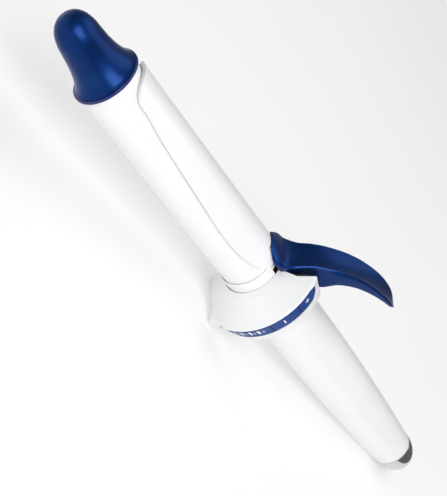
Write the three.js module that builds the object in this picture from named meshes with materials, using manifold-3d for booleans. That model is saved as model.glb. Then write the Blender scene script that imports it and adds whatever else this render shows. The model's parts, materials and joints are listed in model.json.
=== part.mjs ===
// Clamp curling iron: heated barrel with a cool tip, a spring-closed clamp blade worked by a thumb
// lever, a bell collar with two feet and a key band, and a tapered handle with a metal end.
// Units are millimetres. Every piece is drawn on the barrel's axis: +X runs towards the handle,
// +Z towards the lever and -Y towards the side with the keys, with X = 0 where the barrel meets
// the collar. At the end the whole iron is laid down on its two feet and its metal end.
import * as THREE from 'three';
import * as BufferGeometryUtils from 'three/addons/utils/BufferGeometryUtils.js';
import Module from 'manifold-3d';

const wasm = await Module();
wasm.setup();

// Driving dimensions.
const GAP = 0.3;
const BARREL_R = 13.25;
const BARREL_BORE_R = 12.15;
const BARREL_FRONT = -124.3;
const BARREL_BACK = -2;

const HEATER_FRONT = -100;
const HEATER_BACK = -32;
const SHOE_INNER_R = 10.5;
const SHOE_OUTER_R = 11.8;
const SHOE_PAD_LOW = 1.6;
const SHOE_PAD_HIGH = 2.9;
const SHOE_PAD_HALF = 11.1;
const PTC_HALF_WIDTH = 7.5;
const HEATER_SPRING_WAVES = 3;
const HEATER_SPRING_WAVE = 0.22;
const POWER_LEAD_R = 0.75;
const SIGNAL_LEAD_R = 0.4;

const FLANGE_R = 14.7;
const FLANGE_FRONT = -126;
const FLANGE_BACK = -124.6;
const CAP_BASE = -126.3;
const CAP_TIP = -157.8;
const CAP_BASE_LIFT = 0.35;
const CAP_TIP_LIFT = 1.5;
const TIP_POST_R = 3.2;
const TIP_SCREW_BORE_R = 1.3;

const BLADE_CLEARANCE = 0.45;
const BLADE_INNER_R = BARREL_R + BLADE_CLEARANCE;
const BLADE_OUTER_R = 15.16;
const BLADE_FRONT = -120.6;
const BLADE_CORNER = 8.6;
const BLADE_CORNER_POWER = 2.5;
const BLADE_BODY_BACK = -6.1;
const BLADE_BACK = -1;
const TONGUE_HALF_ANGLE = 27;
const RIVET_XS = [-8.6, -3.4];
const RIVET_R = 1.1;
const RIVET_TOP = 15.9;
const RIVET_HOLE_R = 1.4;

const HINGE_X = 6.6;
const HINGE_Z = 17;
const PIN_R = 1.1;
const PIN_HALF = 9.9;
const EAR_R = 3.3;
const EAR_INNER_Y = 4.7;
const EAR_OUTER_Y = 7.3;
const SPRING_POCKET_R = 4.5;
const COIL_TURNS = 4;
const COIL_R = 2.3;
const COIL_HALF = 3.4;
const COIL_WIRE_R = 0.4;

const RING_R = 13.98;
const RING_FRONT = -5.6;
const RING_BACK = 0.9;
const RING_BORE_R = 12.3;
const RING_NOTCH_HALF = 8.6;

const COLLAR_BORE_R = 14.28;
const COLLAR_BACK = 20.6;
const COLLAR_BACK_BORE_R = 23.4;
const SLOT_HALF = 10.3;
const BAND_FRONT = 9;
const BAND_BACK = 15.9;
const BAND_FRONT_R = 28.8;
const BAND_BACK_R = 26.8;
const BAND_INNER_R = 25.3;
const BAND_START = 28;
const PLUS_END = 53.5;
const MINUS_END = 84.5;
const BAND_END = 144;
const KEY_GAP = 0.35;
const WINDOW_AZIMUTHS = [98, 106.5, 115.5, 124];
const WINDOW_X = 12;
const WINDOW_HALF_LENGTH = 1.5;
const WINDOW_HALF_ANGLE = 1.3;
const WINDOW_TOP_R = 27.6;
const SWITCH_AZIMUTHS = { plus_switch: 43.5, minus_switch: 69 };

const LEAN_SLOPE = 0.45;
const LEAN_BLEND = 1.5;
const COLLAR_WALL = 1.6;

const FOOT_AZIMUTH = 157;
const FOOT_X = 11.9;
const FOOT_DROP = 28.35;
const FOOT_BULGE = 5.2;
const FOOT_INNER_SPREAD = 8;
const FOOT_OUTER_SPREAD = 18;
const FOOT_FRONT_LENGTH = 5;
const FOOT_REAR_LENGTH = 4.4;

const MOUNT_R = 13.1;
const MOUNT_FLANGE_R = 22.5;
const MOUNT_BORE_R = 8.5;
const MOUNT_SCREW_AZIMUTHS = [180, 240, 300];
const MOUNT_SCREW_CIRCLE = 19;
const MOUNT_EAR_INNER_Y = 8.2;
const MOUNT_EAR_OUTER_Y = 10;
const MOUNT_BOSS_R = 2.6;
const MOUNT_BOSS_FRONT = 5.4;
const MOUNT_BOSS_BACK = 14.7;
const MOUNT_PILOT_FRONT = 7.4;
const MOUNT_PLATE_FRONT = 15;
const MOUNT_PLATE_BACK = 16.8;
const SCREW_HOLE_R = 1.3;

const HANDLE_FRONT = 17.1;
const HANDLE_BACK = 154.5;
const HANDLE_BELLY_R = 14.26;
const HANDLE_BELLY_X = 62.35;
const HANDLE_TAPER_LENGTH = 78;
const HANDLE_TAPER_LINEAR = 0.855;
const HANDLE_TAPER_SQUARE = 1.95;
const HANDLE_WALL = 2;

const END_FRONT = 154.8;
const END_R = 10.6;
const END_REST_X = 155.2;
const END_MOUTH_X = 169.4;
const END_MOUTH_R = 5;
const CORD_BORE_R = 3.8;
const SWIVEL_BACK = END_MOUTH_X + 0.6;

const CARRIER_CLEARANCE = 0.4;
const BOARD_TOP = -1;
const BOARD_BOTTOM = -2.6;
const BOARD_HALF_WIDTH = 7.9;
const BOARD_SCREW_XS = [36, 106];
const PART_FOOT = BOARD_TOP + GAP;

const ROUND = 40;
const FINE_ROUND = 120;
const SMALL_ROUND = 16;

// Colours, one material for each kind of surface.
const finish = (color, roughness, metalness) => ({ color, roughness, metalness });
const WHITE_GLOSS = finish(0xf4f5f7, 0.25, 0);
const WHITE_COATING = finish(0xf6f6f8, 0.3, 0.1);
const BLUE_PEARL = finish(0x1f4f93, 0.28, 0.35);
const BLUE_DARK = finish(0x152c78, 0.35, 0.2);
const BLUE_KEY = finish(0x2b55a5, 0.35, 0.1);
const WHITE_LENS = finish(0xffffff, 0.4, 0);
const BLACK_PLASTIC = finish(0x141416, 0.6, 0);
const BRIGHT_METAL = finish(0xc9cbd0, 0.12, 1);
const STEEL = finish(0x9a9ca2, 0.35, 1);
const ALUMINIUM = finish(0xb9bcc1, 0.4, 1);
const CERAMIC = finish(0xe8e2d2, 0.7, 0);
const BOARD_GREEN = finish(0x1f5a3a, 0.5, 0);
const COPPER = finish(0xb87333, 0.4, 1);
const WIRE_SLEEVE = finish(0xd9d4c4, 0.6, 0);
const COMPONENT = finish(0x2a2c33, 0.5, 0);

// Solids.
function solidOf(geometry) {
  const bare = geometry.clone();
  bare.deleteAttribute('normal');
  bare.deleteAttribute('uv');
  const merged = BufferGeometryUtils.mergeVertices(bare, 1e-5);
  return new wasm.Manifold(new wasm.Mesh({
    numProp: 3,
    vertProperties: new Float32Array(merged.attributes.position.array),
    triVerts: new Uint32Array(merged.index.array),
  }));
}

function geometryOf(solid) {
  const mesh = solid.getMesh();
  const geometry = new THREE.BufferGeometry();
  geometry.setAttribute('position', new THREE.BufferAttribute(new Float32Array(mesh.vertProperties), 3));
  geometry.setIndex(new THREE.BufferAttribute(new Uint32Array(mesh.triVerts), 1));
  return geometry;
}

function join(first, ...others) {
  return others.reduce((sum, other) => sum.add(other), first);
}

function cut(first, ...others) {
  return others.reduce((rest, other) => rest.subtract(other), first);
}

// A point on the barrel's axis frame: distance along it, azimuth from the lever towards the keys, radius.
function polar(x, azimuth, radius) {
  const angle = THREE.MathUtils.degToRad(azimuth);
  return new THREE.Vector3(x, -radius * Math.sin(angle), radius * Math.cos(angle));
}

// A turned piece from its outline of [x, radius] points, laid along the X axis.
function turned(outline, segments = ROUND) {
  const points = outline.map(([x, radius]) => new THREE.Vector2(radius, x));
  const area = THREE.ShapeUtils.area(points);
  if (area < 0) points.reverse();
  if (points[0].x > 0) points.push(points[0].clone());
  const geometry = new THREE.LatheGeometry(points, segments);
  geometry.rotateZ(-Math.PI / 2);
  return geometry;
}

function ring(xLow, xHigh, innerRadius, outerRadius, segments = ROUND) {
  const outline = [[xLow, innerRadius], [xLow, outerRadius], [xHigh, outerRadius], [xHigh, innerRadius]];
  return turned(outline, segments);
}

function block(low, high) {
  const size = high.map((value, i) => value - low[i]);
  const geometry = new THREE.BoxGeometry(...size);
  geometry.translate(...low.map((value, i) => value + size[i] / 2));
  return geometry;
}

function rod(from, to, radius, segments = SMALL_ROUND) {
  const start = new THREE.Vector3(...from);
  const way = new THREE.Vector3(...to).sub(start);
  const geometry = new THREE.CylinderGeometry(radius, radius, way.length(), segments);
  geometry.translate(0, way.length() / 2, 0);
  const turn = new THREE.Quaternion().setFromUnitVectors(new THREE.Vector3(0, 1, 0), way.normalize());
  geometry.applyQuaternion(turn);
  geometry.translate(start.x, start.y, start.z);
  return geometry;
}

// A box with many slices, each corner sent to place(u, v, w) with u, v and w from 0 to 1.
function bent(slices, place) {
  const geometry = new THREE.BoxGeometry(1, 1, 1, ...slices);
  const position = geometry.attributes.position;
  for (let i = 0; i < position.count; i += 1) {
    const target = place(position.getX(i) + 0.5, position.getY(i) + 0.5, position.getZ(i) + 0.5);
    position.setXYZ(i, target.x, target.y, target.z);
  }
  return outward(geometry);
}

// The same geometry with its faces pointing out, whichever way its corners were sent.
function outward(geometry) {
  const corners = geometry.index.array;
  const corner = (i) => new THREE.Vector3().fromBufferAttribute(geometry.attributes.position, corners[i]);
  let volume = 0;
  for (let i = 0; i < corners.length; i += 3) {
    volume += corner(i).dot(corner(i + 1).cross(corner(i + 2)));
  }
  if (volume < 0) corners.reverse();
  return geometry;
}

// A wire along a smooth path of points.
function wire(points, radius, steps = 12, sides = 6) {
  const outline = new THREE.Shape().absarc(0, 0, radius, 0, 2 * Math.PI);
  const path = new THREE.CatmullRomCurve3(points.map((point) => new THREE.Vector3(...point)));
  return new THREE.ExtrudeGeometry(outline, { extrudePath: path, steps, curveSegments: sides });
}

// A smooth value along x, through control points of [x, value].
function profile(controls) {
  const curve = new THREE.SplineCurve(controls.map(([x, value]) => new THREE.Vector2(x, value)));
  const samples = curve.getPoints(controls.length * 12);
  return (x) => {
    const next = samples.findIndex((sample) => sample.x >= x);
    if (next < 0) return samples[samples.length - 1].y;
    if (next === 0) return samples[0].y;
    const before = samples[next - 1];
    const share = (x - before.x) / (samples[next].x - before.x);
    return before.y + share * (samples[next].y - before.y);
  };
}

// The iron, drawn straight.
const iron = new THREE.Group();

function piece(name, shape, look) {
  const geometry = shape.isBufferGeometry ? shape : geometryOf(shape);
  const mesh = new THREE.Mesh(geometry, new THREE.MeshStandardMaterial(look));
  mesh.name = name;
  iron.add(mesh);
}

// The bell's middle stands above the barrel's axis, most of all at its nose.
function capLift(x) {
  const share = Math.max(0, (CAP_BASE - x) / (CAP_BASE - CAP_TIP));
  return CAP_BASE_LIFT + CAP_TIP_LIFT * Math.pow(share, 1.5);
}

function lifted(geometry) {
  const position = geometry.attributes.position;
  for (let i = 0; i < position.count; i += 1) {
    position.setZ(i, position.getZ(i) + capLift(position.getX(i)));
  }
  return geometry;
}

// One half of the aluminium spreader: a half tube with a flat pad that presses on the heater.
function heaterShoe(side) {
  const between = (low, high) => [Math.min(side * low, side * high), Math.max(side * low, side * high)];
  const [padLow, padHigh] = between(SHOE_PAD_LOW, SHOE_PAD_HIGH);
  const [farLow, farHigh] = between(-BARREL_R, SHOE_PAD_LOW);
  const tube = solidOf(ring(HEATER_FRONT, HEATER_BACK, SHOE_INNER_R, SHOE_OUTER_R, 32));
  const pad = solidOf(block([HEATER_FRONT, -SHOE_PAD_HALF, padLow], [HEATER_BACK, SHOE_PAD_HALF, padHigh]));
  const otherHalf = solidOf(block(
    [HEATER_FRONT - 1, -BARREL_R, farLow],
    [HEATER_BACK + 1, BARREL_R, farHigh],
  ));
  return cut(join(tube, pad), otherHalf);
}

// Barrel, cool tip and heater.
function barrel() {
  piece('barrel_tube', ring(BARREL_FRONT, BARREL_BACK, BARREL_BORE_R, BARREL_R), WHITE_COATING);

  const bell = [[CAP_BASE, 0], [CAP_BASE, 14.2], [-127.6, 13.2], [-130, 12], [-134, 10.8], [-139, 9.9],
    [-144, 9.4], [-149, 8.85], [-153.5, 7.3], [-156.6, 4.4], [CAP_TIP, 0]];
  const hollow = [[-149, 0], [-149, 5.4], [-144, 7.4], [-134, 9], [-130, 10.4], [CAP_BASE + 1, 11.6],
    [CAP_BASE + 1, 0]];
  const post = [[-149.5, 0], [-149.5, TIP_POST_R], [-129, TIP_POST_R], [-129, 0]];
  const screwBore = [[-147, 0], [-147, TIP_SCREW_BORE_R], [-128, TIP_SCREW_BORE_R], [-128, 0]];
  const shell = cut(solidOf(lifted(turned(bell))), solidOf(turned(hollow)));
  piece('tip_cap', cut(join(shell, solidOf(turned(post, 32))), solidOf(turned(screwBore, 32))), BLUE_PEARL);
  piece('tip_flange', ring(FLANGE_FRONT, FLANGE_BACK, 2.2, FLANGE_R), BLUE_DARK);

  const plug = [[BARREL_FRONT, 1.5], [BARREL_FRONT, 11.85], [-114, 11.85], [-114, 3.2], [-118.4, 3.2],
    [-118.4, 1.5]];
  piece('tip_plug', turned(plug, 32), BLACK_PLASTIC);
  const screw = [[-142, 0], [-142, 1], [-118, 1], [-118, 2.7], [-116.4, 2.7], [-116.4, 0]];
  piece('tip_screw', turned(screw, SMALL_ROUND), STEEL);

  for (const [name, side] of [['heater_shoe_upper', 1], ['heater_shoe_lower', -1]]) {
    piece(name, heaterShoe(side), ALUMINIUM);
  }
  piece('ptc_heater', block([-96, -PTC_HALF_WIDTH, -1.2], [-36, PTC_HALF_WIDTH, 0.1]), CERAMIC);
  piece('heater_spring', bent([16, 1, 1], (u, v, w) => new THREE.Vector3(
    -94 + 56 * u,
    -6 + 12 * v,
    0.45 + HEATER_SPRING_WAVE * (1 - Math.cos(2 * Math.PI * HEATER_SPRING_WAVES * u)) + 0.35 * w,
  )), STEEL);
  piece('thermistor', new THREE.SphereGeometry(1.2, 10, 8).translate(-60, 0, 4.5), CERAMIC);
  piece('thermal_fuse', rod([-50, 6, 5], [-38, 6, 5], 1.7, 12), COMPONENT);

  for (const [name, side] of [['near', -1], ['far', 1]]) {
    const power = [[-35.6, 5 * side, -0.5], [-24, 5 * side, -0.3], [4, 5 * side, 0], [16, 4.5 * side, 0.3],
      [29.6, 4.5 * side, 0.6]];
    piece(`heater_lead_${name}`, wire(power, POWER_LEAD_R), WIRE_SLEEVE);
    const signal = [[-58.2, side, 5], [-52, 1.6 * side, 5.6], [-34, 2 * side, 5.8], [-16, 2.4 * side, 5.6],
      [0, 2.4 * side, 5], [16, 2 * side, 4], [26, 2 * side, 3]];
    piece(`sensor_lead_${name}`, wire(signal, SIGNAL_LEAD_R, 14), WIRE_SLEEVE);
  }
}

// Clamp blade: part of a tube on the barrel, widest near the lever, with rounded far corners.
const bladeHalfAngle = profile([[-121, 49.5], [-108, 50.5], [-94, 57], [-60, 66.5], [-38, 71.5], [-22, 69],
  [-12, 59], [-6, 45]]);

function bladeWidth(x) {
  const reach = Math.max(0, (BLADE_FRONT + BLADE_CORNER - x) / BLADE_CORNER);
  const corner = Math.pow(Math.max(0, 1 - Math.pow(reach, BLADE_CORNER_POWER)), 1 / BLADE_CORNER_POWER);
  return bladeHalfAngle(x) * corner;
}

function clampBlade() {
  const cornerShares = [0.012, 0.05, 0.12, 0.24, 0.4, 0.65, 1];
  const cornerStops = cornerShares.map((share) => BLADE_FRONT + share * BLADE_CORNER);
  const bodyStops = [-104, -94, -80, -64, -48, -36, -26, -18, -12, BLADE_BODY_BACK];
  const stops = [...cornerStops, ...bodyStops];
  const onBarrel = (x, halfAngle, v, w) => polar(
    x, halfAngle * (2 * v - 1), BLADE_INNER_R + w * (BLADE_OUTER_R - BLADE_INNER_R),
  );
  const body = solidOf(bent([stops.length - 1, 12, 1], (u, v, w) => {
    const x = stops[Math.round(u * (stops.length - 1))];
    return onBarrel(x, bladeWidth(x), 1 - v, w);
  }));
  const tongue = solidOf(bent([1, 6, 1], (u, v, w) => {
    const x = BLADE_BODY_BACK - 2 + u * (BLADE_BACK - BLADE_BODY_BACK + 2);
    return onBarrel(x, TONGUE_HALF_ANGLE, 1 - v, w);
  }));
  return join(body, tongue);
}

// Thumb lever: its thumb face and its underside are two smooth lines with the same number of points.
const LEVER_TOP = [[-12.2, 16.3], [-7, 16.6], [-2.1, 17.4], [1.9, 21], [5.6, 26.5], [10.3, 31.5],
  [16.7, 36.6], [21.3, 39.4], [25.7, 41.6], [32, 43.9], [37.7, 45.4], [44, 46.3], [49.5, 46.3], [53.4, 45.3]];
const LEVER_UNDER = [[-12.2, 14.6], [-7, 14.6], [-1.5, 14.6], [4.5, 14.9], [7.2, 18.6], [10.5, 21.8],
  [19.4, 23.2], [22.6, 31], [27.5, 36.6], [33.2, 40.2], [38.2, 42.4], [44, 44.1], [49.2, 44.8], [53.1, 44.8]];
const LEVER_HALF_WIDTHS = [4.8, 8.2, 8.5, 7.8, 7.5, 7.4, 7.2, 7.1, 7, 6.8, 6.6, 6.1, 4.9, 1.8];
const LEVER_DISH = [-1.2, -1.3, -0.6, 0.5, 0.9, 1, 1, 1, 1, 1, 0.9, 0.7, 0.4, 0.1];

function leverLine(values) {
  return new THREE.SplineCurve(values.map(([x, z]) => new THREE.Vector2(x, z)));
}

function thumbLever() {
  const top = leverLine(LEVER_TOP);
  const under = leverLine(LEVER_UNDER);
  const widths = leverLine(LEVER_HALF_WIDTHS.map((value, i) => [i, value]));
  const dishes = leverLine(LEVER_DISH.map((value, i) => [i, value]));
  const loft = solidOf(bent([28, 6, 1], (u, v, w) => {
    const side = 2 * v - 1;
    const low = under.getPoint(u);
    const high = top.getPoint(u);
    const raised = dishes.getPoint(u).y * (side * side - 0.4);
    const narrowing = 1 - 0.12 * (1 - w);
    return new THREE.Vector3(
      low.x + w * (high.x - low.x),
      side * widths.getPoint(u).y * narrowing,
      low.y + w * (high.y + raised - low.y),
    );
  }));
  const hinge = (halfLength, radius, segments = 20) => solidOf(
    rod([HINGE_X, -halfLength, HINGE_Z], [HINGE_X, halfLength, HINGE_Z], radius, segments),
  );
  const saddle = solidOf(rod([-14, 0, 0], [HINGE_X - 2, 0, 0], BLADE_OUTER_R + GAP, ROUND));
  const ears = hinge(EAR_OUTER_Y, EAR_R);
  const springPocket = hinge(EAR_INNER_Y, SPRING_POCKET_R);
  const pinHole = hinge(SLOT_HALF, PIN_R + GAP, SMALL_ROUND);
  const rivetHoles = RIVET_XS.map((x) => solidOf(rod([x, 0, 10], [x, 0, RIVET_TOP + GAP], RIVET_HOLE_R, 12)));
  return cut(join(cut(loft, saddle), ears), springPocket, pinHole, ...rivetHoles);
}

// A torsion spring round the pin, whose leg rests on the mount behind it.
function hingeSpring() {
  const steps = COIL_TURNS * 8;
  const coil = [];
  for (let step = 0; step <= steps; step += 1) {
    const angle = -Math.PI / 2 + (step * Math.PI) / 4;
    coil.push([
      HINGE_X + COIL_R * Math.cos(angle),
      -COIL_HALF + (2 * COIL_HALF * step) / steps,
      HINGE_Z + COIL_R * Math.sin(angle),
    ]);
  }
  coil.push([HINGE_X + 6, COIL_HALF + 0.2, HINGE_Z - COIL_R]);
  return wire(coil, COIL_WIRE_R, 44, 5);
}

function clamp() {
  const rivetHoles = RIVET_XS.map((x) => solidOf(rod([x, 0, 10], [x, 0, 18], RIVET_HOLE_R, 12)));
  piece('clamp_blade', cut(clampBlade(), ...rivetHoles), WHITE_GLOSS);
  piece('thumb_lever', thumbLever(), BLUE_PEARL);
  RIVET_XS.forEach((x, i) => {
    piece(`lever_rivet_${i + 1}`, rod([x, 0, BLADE_INNER_R + 0.1], [x, 0, RIVET_TOP], RIVET_R, 12), STEEL);
  });

  const pin = rod([HINGE_X, -PIN_HALF, HINGE_Z], [HINGE_X, PIN_HALF, HINGE_Z], PIN_R);
  piece('hinge_pin', pin, STEEL);
  piece('hinge_spring', hingeSpring(), STEEL);
}

// Collar: a bell with two pointed feet, a slot for the lever and an opening for the key band. Away from
// the keys and between the feet its face leans back, so that its radius grows slowly along the axis.
const leanLimit = profile([[-180, 21.7], [-165, 21.6], [-150, 21.4], [-130, 21], [-100, 20.6], [-75, 20.2],
  [-60, 19.4], [-50, 19.1], [-40, 19.2], [-30, 20.1], [-22, 21.8], [-10, 26], [5, 32], [30, 34], [70, 34],
  [105, 34], [120, 32], [130, 27.5], [138, 24.2], [147, 23.1], [158, 22.4], [170, 22], [180, 21.7]]);

function leaned(x, azimuth, radius, inset) {
  const limit = leanLimit(azimuth) + LEAN_SLOPE * x - inset;
  const nearness = Math.max(0, LEAN_BLEND - Math.abs(radius - limit));
  return Math.min(radius, limit) - (nearness * nearness) / (4 * LEAN_BLEND);
}

function footBulge(x, azimuth) {
  const length = x < FOOT_X ? FOOT_FRONT_LENGTH : FOOT_REAR_LENGTH;
  const along = Math.max(0, 1 - Math.pow(Math.abs(x - FOOT_X) / length, 1.6));
  const past = Math.abs(azimuth) - FOOT_AZIMUTH;
  const across = Math.max(0, 1 - (past > 0 ? past / FOOT_INNER_SPREAD : -past / FOOT_OUTER_SPREAD));
  return FOOT_BULGE * along * Math.pow(across, 1.3);
}

// A turned solid whose surface is leaned, inset from the bell's face, with or without the feet.
function bellSolid(outline, inset, withFeet) {
  const geometry = turned(outline, FINE_ROUND);
  const position = geometry.attributes.position;
  for (let i = 0; i < position.count; i += 1) {
    const x = position.getX(i);
    const radius = Math.hypot(position.getY(i), position.getZ(i));
    const azimuth = THREE.MathUtils.radToDeg(Math.atan2(-position.getY(i), position.getZ(i)));
    if (radius > COLLAR_BORE_R + GAP) {
      const foot = withFeet ? footBulge(x, azimuth) : 0;
      const moved = polar(x, azimuth, leaned(x, azimuth, radius, inset) + foot);
      position.setXYZ(i, moved.x, moved.y, moved.z);
    }
  }
  return solidOf(geometry);
}

// The metal end's dome, from its widest place to the cord's mouth.
function domeOutline() {
  const steps = 7;
  const widest = Math.acos(END_MOUTH_R / END_R);
  const outline = [];
  for (let step = 0; step <= steps; step += 1) {
    const angle = (step / steps) * widest;
    const depth = (END_MOUTH_X - END_REST_X) * (Math.sin(angle) / Math.sin(widest));
    outline.push([END_REST_X + depth, END_R * Math.cos(angle)]);
  }
  return outline;
}

// The table's plane runs through the feet's ends and touches the dome.
const REST_TILT = Math.min(...domeOutline().map(([x, radius]) => Math.atan2(FOOT_DROP - radius, x - FOOT_X)));

function tableBelow() {
  const table = block([-400, -60, -40], [400, 60, 0]);
  table.rotateY(REST_TILT * -1);
  table.translate(FOOT_X, 0, -FOOT_DROP);
  return solidOf(table);
}

function bandSurface(x, azimuth) {
  const share = (x - BAND_FRONT) / (BAND_BACK - BAND_FRONT);
  return leaned(x, azimuth, BAND_FRONT_R + share * (BAND_BACK_R - BAND_FRONT_R), 0);
}

// A stretch of the band between two azimuths. Its two outer ends close to a rounded point.
function bandPiece(from, to, margin, innerRadius, raise) {
  const slices = Math.max(4, Math.round((to - from) / 4));
  return solidOf(bent([slices, 2, 1], (u, v, w) => {
    const azimuth = from + u * (to - from);
    const closeStart = Math.min(1, Math.max(0.08, (azimuth - BAND_START + 1.5) / 9));
    const closeEnd = Math.min(1, Math.max(0.08, (BAND_END - azimuth + 1.5) / 26));
    const width = (BAND_BACK - BAND_FRONT) * Math.sqrt(closeStart * closeEnd);
    const front = BAND_FRONT + (BAND_BACK - BAND_FRONT - width) * 0.35;
    const x = front - margin + (1 - v) * (width + 2 * margin);
    const radius = w > 0.5 ? bandSurface(x, azimuth) + raise : innerRadius;
    return polar(x, azimuth, radius);
  }));
}

// A rod along the axis at each of the mount's three screws.
function atMountScrews(from, to, radius, segments) {
  return MOUNT_SCREW_AZIMUTHS.map((azimuth) => {
    const place = polar(0, azimuth, MOUNT_SCREW_CIRCLE);
    return solidOf(rod([from, place.y, place.z], [to, place.y, place.z], radius, segments));
  });
}

function collarShell() {
  const face = [[0, 0], [0, 14.6], [1.4, 17.4], [2.7, 19.5], [4.8, 22.8], [7, 26.4], [8, 28.2],
    [BAND_FRONT, BAND_FRONT_R], [10.4, 28.4], [12, 27.93], [14, 27.35], [BAND_BACK, BAND_BACK_R], [18.6, 26],
    [20.1, 25.2], [COLLAR_BACK, 24.2], [COLLAR_BACK, 0]];
  const hollow = [[-1, 0], [-1, COLLAR_BORE_R], [1.2, COLLAR_BORE_R], [2.4, 16.2], [5.6, 21.2], [8.4, 25.4],
    [10, 26.2], [13, 25.5], [17.2, 24.4], [17.2, COLLAR_BACK_BORE_R], [COLLAR_BACK + 1, COLLAR_BACK_BORE_R],
    [COLLAR_BACK + 1, 0]];
  const shell = cut(bellSolid(face, 0, true), bellSolid(hollow, COLLAR_WALL, false));
  const slot = solidOf(block([-1, -SLOT_HALF, 5], [22, SLOT_HALF, 40]));
  const bosses = atMountScrews(MOUNT_BOSS_FRONT, MOUNT_BOSS_BACK, MOUNT_BOSS_R);
  const pilots = atMountScrews(MOUNT_PILOT_FRONT, MOUNT_PLATE_FRONT, SCREW_HOLE_R, 12);
  const bandOpening = bandPiece(BAND_START, BAND_END, GAP, 22, 4);
  return cut(join(shell, ...bosses), slot, bandOpening, tableBelow(), ...pilots);
}

// A light window's block, grown by a margin where it is the opening for one.
function windowBlock(azimuth, margin, low, high) {
  return solidOf(bent([1, 1, 1], (u, v, w) => polar(
    WINDOW_X + (2 * v - 1) * (WINDOW_HALF_LENGTH + margin),
    azimuth - (2 * u - 1) * (WINDOW_HALF_ANGLE + 2 * margin),
    low + w * (high - low),
  )));
}

function collar() {
  piece('collar_shell', collarShell(), WHITE_GLOSS);

  const back = cut(
    solidOf(ring(18.4, 20.2, 14.6, 23.1, 48)),
    solidOf(block([15, -SLOT_HALF, 5], [22, SLOT_HALF, 40])),
  );
  piece('collar_back', back, WHITE_GLOSS);
  const baseRing = [[RING_FRONT, BLADE_INNER_R], [RING_FRONT, RING_R], [RING_BACK, RING_R],
    [RING_BACK, RING_BORE_R], [BARREL_BACK + GAP, RING_BORE_R], [BARREL_BACK + GAP, BLADE_INNER_R]];
  const ringNotch = solidOf(block([-8, -RING_NOTCH_HALF, 2], [3, RING_NOTCH_HALF, 16]));
  piece('barrel_base_ring', cut(solidOf(turned(baseRing)), ringNotch), WHITE_GLOSS);

  const strip = (from, to) => bandPiece(from, to, 0, BAND_INNER_R, 0);
  piece('plus_button', strip(BAND_START + GAP, PLUS_END - KEY_GAP), BLUE_KEY);
  piece('minus_button', strip(PLUS_END + KEY_GAP, MINUS_END - KEY_GAP), BLUE_KEY);
  const openings = WINDOW_AZIMUTHS.map((azimuth) => windowBlock(azimuth, GAP, 20, 32));
  piece('scale_panel', cut(strip(MINUS_END + KEY_GAP, BAND_END - GAP), ...openings), BLUE_KEY);
  WINDOW_AZIMUTHS.forEach((azimuth, i) => {
    piece(`scale_window_${i + 1}`, windowBlock(azimuth, 0, 24.6, WINDOW_TOP_R), WHITE_LENS);
  });
}

// The barrel's mount: a sleeve and a plate, with two ears that hold the hinge pin.
function barrelMount() {
  const sleeve = [[-14, MOUNT_BORE_R], [-14, 11.85], [1.2, 11.85], [1.2, MOUNT_R],
    [MOUNT_PLATE_FRONT, MOUNT_R], [MOUNT_PLATE_FRONT, MOUNT_FLANGE_R],
    [MOUNT_PLATE_BACK, MOUNT_FLANGE_R], [MOUNT_PLATE_BACK, MOUNT_BORE_R]];
  const ears = [-MOUNT_EAR_OUTER_Y, MOUNT_EAR_INNER_Y].map((low) => solidOf(
    block([2.6, low, 3], [15.4, low + MOUNT_EAR_OUTER_Y - MOUNT_EAR_INNER_Y, 24]),
  ));
  const earOutline = [[2.8, 0], [2.8, 17], [5.9, 22], [8.6, 26.2], [10, 26.8], [15.4, 24.5], [15.4, 0]];
  const bellInside = bellSolid(earOutline, 1, false);
  const tube = solidOf(rod([0, 0, 0], [MOUNT_PLATE_FRONT, 0, 0], MOUNT_R - 0.4));
  const slot = solidOf(block([14, -SLOT_HALF, MOUNT_R - 0.5], [18, SLOT_HALF, 30]));
  const pinHole = solidOf(rod([HINGE_X, -14, HINGE_Z], [HINGE_X, 14, HINGE_Z], PIN_R + GAP));
  const screwHoles = atMountScrews(14, 18, SCREW_HOLE_R, 12);
  const standing = join(...ears).intersect(bellInside).subtract(tube);
  return cut(join(solidOf(turned(sleeve)), standing), slot, pinHole, ...screwHoles);
}

// A block between two radii and two azimuths.
function sector(xLow, xHigh, innerRadius, outerRadius, from, to, slices) {
  return solidOf(bent([slices, 1, 1], (u, v, w) => polar(
    xHigh + v * (xLow - xHigh), from + u * (to - from), innerRadius + w * (outerRadius - innerRadius),
  )));
}

// What the collar holds: the barrel's mount, its screws, and the key board with its switches and lights.
function collarInside() {
  piece('barrel_mount', barrelMount(), BLACK_PLASTIC);
  MOUNT_SCREW_AZIMUTHS.forEach((azimuth, i) => {
    const place = polar(0, azimuth, MOUNT_SCREW_CIRCLE);
    const screw = turned([[8, 0], [8, 1], [17.1, 1], [17.1, 2.1], [18.1, 2.1], [18.1, 0]], 12);
    piece(`mount_screw_${i + 1}`, screw.translate(0, place.y, place.z), STEEL);
  });

  const board = join(sector(13.4, 14.6, 16, 23.2, 52, 132, 13), sector(13.4, 14.6, 20.2, 23.2, 40, 60, 4));
  piece('key_board', board, BOARD_GREEN);
  for (const [name, azimuth] of Object.entries(SWITCH_AZIMUTHS)) {
    const body = sector(10, 13.1, 20.8, 23.4, azimuth - 3.5, azimuth + 3.5, 1);
    const plunger = sector(10.9, 12.2, 23.2, 24.65, azimuth - 1.4, azimuth + 1.4, 1);
    piece(name, join(body, plunger), COMPONENT);
  }
  WINDOW_AZIMUTHS.forEach((azimuth, i) => {
    piece(`scale_led_${i + 1}`, sector(10.6, 13.1, 21.4, 23.2, azimuth - 2, azimuth + 2, 1), WHITE_LENS);
  });
}

// Handle, its end and the electronics in it.
function handleRadius(x) {
  const along = (x - HANDLE_BELLY_X) / HANDLE_TAPER_LENGTH;
  return HANDLE_BELLY_R - HANDLE_TAPER_LINEAR * along - HANDLE_TAPER_SQUARE * along * along;
}

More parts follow.
